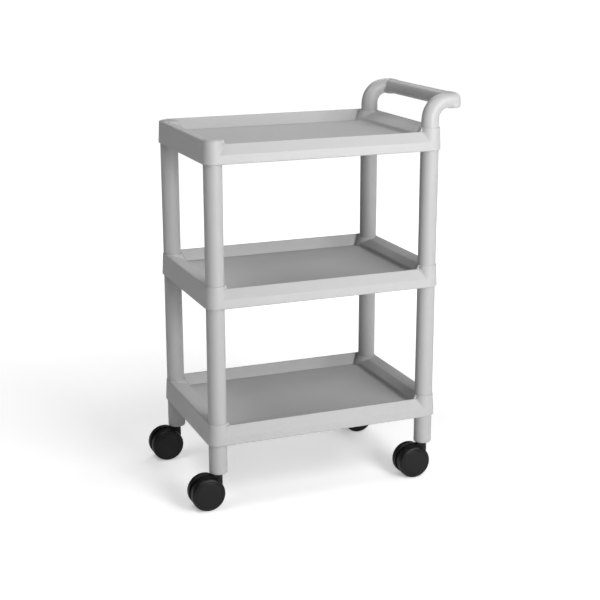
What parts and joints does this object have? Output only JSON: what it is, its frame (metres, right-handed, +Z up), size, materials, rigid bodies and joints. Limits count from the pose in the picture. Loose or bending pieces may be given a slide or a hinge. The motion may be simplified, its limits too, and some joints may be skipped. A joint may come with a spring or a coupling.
{
  "type": "spa trolley cart",
  "caption": "Light grey moulded plastic spa trolley with stacked shelf trays on round posts, a push handle at one end and black twin-wheel casters.",
  "frame": {"origin": "on the floor, under the centre of the bounding box", "axes": "+Z up, +X to the push handle end, -Y the side with the low front walls"},
  "size_m": [0.633, 0.363, 0.878],
  "materials": {
    "tray_plastic": "light grey moulded polypropylene, fine grain",
    "post_plastic": "light grey extruded tube, satin",
    "handle_plastic": "light grey smooth moulding, satin",
    "caster_plastic": "black nylon, low sheen",
    "tread_rubber": "black tread, satin",
    "stem_steel": "zinc plated steel"
  },
  "bodies": {
    "frame": {"bottom_tray": "tray_plastic", "middle_tray": "tray_plastic", "top_tray": "tray_plastic", "lower_post_front_left": "post_plastic", "lower_post_front_right": "post_plastic", "lower_post_back_left": "post_plastic", "lower_post_back_right": "post_plastic", "upper_post_front_left": "post_plastic", "upper_post_front_right": "post_plastic", "upper_post_back_left": "post_plastic", "upper_post_back_right": "post_plastic", "caster_leg_front_left": "post_plastic", "caster_leg_front_right": "post_plastic", "caster_leg_back_left": "post_plastic", "caster_leg_back_right": "post_plastic", "push_handle": "handle_plastic", "corner_cap_front_left": "handle_plastic", "corner_cap_back_left": "handle_plastic", "caster_socket_front_left": "caster_plastic", "caster_socket_front_right": "caster_plastic", "caster_socket_back_left": "caster_plastic", "caster_socket_back_right": "caster_plastic", "caster_stem_front_left": "stem_steel", "caster_stem_front_right": "stem_steel", "caster_stem_back_left": "stem_steel", "caster_stem_back_right": "stem_steel"},
    "swivel_front_left": {"caster_hood_front_left": "caster_plastic", "caster_axle_front_left": "stem_steel"},
    "wheel_front_left_near": {"wheel_core_front_left_near": "caster_plastic", "wheel_tread_front_left_near": "tread_rubber", "hub_cover_front_left_near": "caster_plastic"},
    "wheel_front_left_far": {"wheel_core_front_left_far": "caster_plastic", "wheel_tread_front_left_far": "tread_rubber", "hub_cover_front_left_far": "caster_plastic"},
    "swivel_front_right": {"caster_hood_front_right": "caster_plastic", "caster_axle_front_right": "stem_steel"},
    "wheel_front_right_near": {"wheel_core_front_right_near": "caster_plastic", "wheel_tread_front_right_near": "tread_rubber", "hub_cover_front_right_near": "caster_plastic"},
    "wheel_front_right_far": {"wheel_core_front_right_far": "caster_plastic", "wheel_tread_front_right_far": "tread_rubber", "hub_cover_front_right_far": "caster_plastic"},
    "swivel_back_left": {"caster_hood_back_left": "caster_plastic", "caster_axle_back_left": "stem_steel"},
    "wheel_back_left_near": {"wheel_core_back_left_near": "caster_plastic", "wheel_tread_back_left_near": "tread_rubber", "hub_cover_back_left_near": "caster_plastic"},
    "wheel_back_left_far": {"wheel_core_back_left_far": "caster_plastic", "wheel_tread_back_left_far": "tread_rubber", "hub_cover_back_left_far": "caster_plastic"},
    "swivel_back_right": {"caster_hood_back_right": "caster_plastic", "caster_axle_back_right": "stem_steel"},
    "wheel_back_right_near": {"wheel_core_back_right_near": "caster_plastic", "wheel_tread_back_right_near": "tread_rubber", "hub_cover_back_right_near": "caster_plastic"},
    "wheel_back_right_far": {"wheel_core_back_right_far": "caster_plastic", "wheel_tread_back_right_far": "tread_rubber", "hub_cover_back_right_far": "caster_plastic"}
  },
  "joints": [
    {"name": "swivel_front_left", "type": "hinge", "parent": "frame", "child": "swivel_front_left", "pos_m": [-0.2505, -0.1565, 0.077], "axis": [0, 0, 1], "continuous": true},
    {"name": "wheel_front_left_near", "type": "hinge", "parent": "swivel_front_left", "child": "wheel_front_left_near", "pos_m": [-0.279, -0.1565, 0.0375], "axis": [0, 1, 0], "continuous": true},
    {"name": "wheel_front_left_far", "type": "hinge", "parent": "swivel_front_left", "child": "wheel_front_left_far", "pos_m": [-0.279, -0.1565, 0.0375], "axis": [0, 1, 0], "continuous": true},
    {"name": "swivel_front_right", "type": "hinge", "parent": "frame", "child": "swivel_front_right", "pos_m": [0.2455, -0.1565, 0.077], "axis": [0, 0, 1], "continuous": true},
    {"name": "wheel_front_right_near", "type": "hinge", "parent": "swivel_front_right", "child": "wheel_front_right_near", "pos_m": [0.217, -0.1565, 0.0375], "axis": [0, 1, 0], "continuous": true},
    {"name": "wheel_front_right_far", "type": "hinge", "parent": "swivel_front_right", "child": "wheel_front_right_far", "pos_m": [0.217, -0.1565, 0.0375], "axis": [0, 1, 0], "continuous": true},
    {"name": "swivel_back_left", "type": "hinge", "parent": "frame", "child": "swivel_back_left", "pos_m": [-0.2505, 0.1565, 0.077], "axis": [0, 0, 1], "continuous": true},
    {"name": "wheel_back_left_near", "type": "hinge", "parent": "swivel_back_left", "child": "wheel_back_left_near", "pos_m": [-0.279, 0.1565, 0.0375], "axis": [0, 1, 0], "continuous": true},
    {"name": "wheel_back_left_far", "type": "hinge", "parent": "swivel_back_left", "child": "wheel_back_left_far", "pos_m": [-0.279, 0.1565, 0.0375], "axis": [0, 1, 0], "continuous": true},
    {"name": "swivel_back_right", "type": "hinge", "parent": "frame", "child": "swivel_back_right", "pos_m": [0.2455, 0.1565, 0.077], "axis": [0, 0, 1], "continuous": true},
    {"name": "wheel_back_right_near", "type": "hinge", "parent": "swivel_back_right", "child": "wheel_back_right_near", "pos_m": [0.217, 0.1565, 0.0375], "axis": [0, 1, 0], "continuous": true},
    {"name": "wheel_back_right_far", "type": "hinge", "parent": "swivel_back_right", "child": "wheel_back_right_far", "pos_m": [0.217, 0.1565, 0.0375], "axis": [0, 1, 0], "continuous": true}
  ]
}
